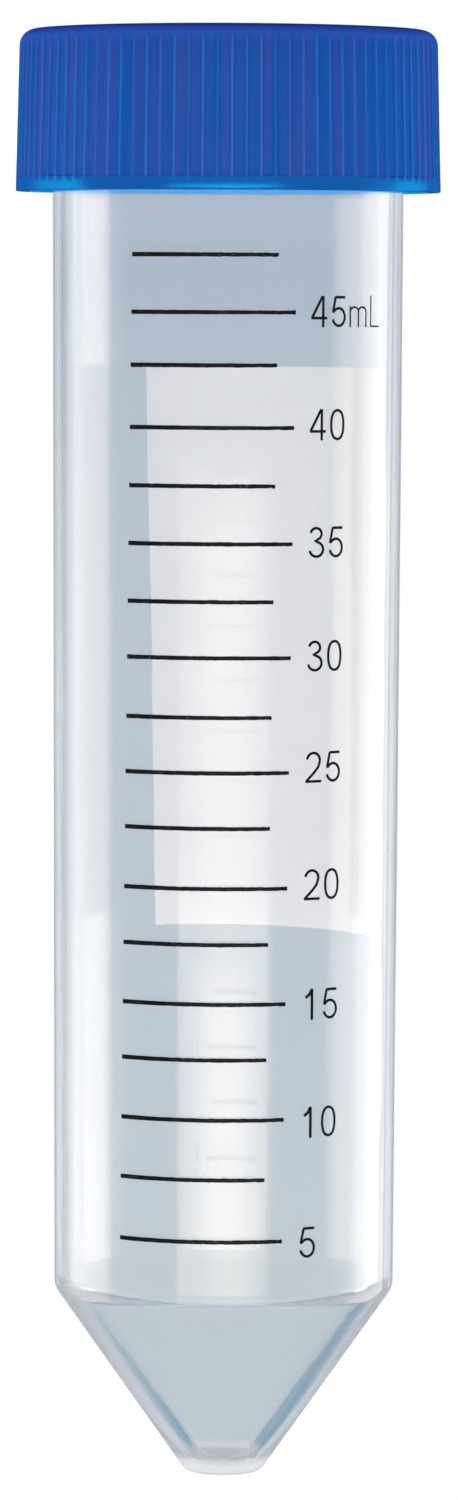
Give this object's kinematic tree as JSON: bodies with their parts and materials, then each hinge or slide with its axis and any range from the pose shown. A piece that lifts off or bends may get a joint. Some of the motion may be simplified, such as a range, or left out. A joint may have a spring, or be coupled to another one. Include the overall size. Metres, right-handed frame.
{
  "type": "conical centrifuge tube",
  "caption": "Clear conical-bottomed 50 ml tube with a printed volume scale and a blue flat-topped screw cap, standing on its cap.",
  "frame": {"origin": "centre of the cap's flat top, on which the closed tube stands", "axes": "+Z along the tube's axis from the cap towards the tip, -Y towards the printed scale"},
  "size_m": [0.0346, 0.0346, 0.118],
  "materials": {
    "clear_plastic": "clear, smooth, faintly blue-grey polypropylene",
    "blue_plastic": "satin moulded blue, opaque",
    "black_ink": "screen-printed black ink",
    "white_ink": "frosted white writing patch"
  },
  "bodies": {
    "cap": {"cap": "blue_plastic"},
    "tube": {"tube": "clear_plastic"}
  },
  "joints": [
    {"name": "tube_lift", "type": "slide", "parent": "cap", "child": "tube", "axis": [0, 0, 1], "range_m": [0, 0.03]}
  ]
}
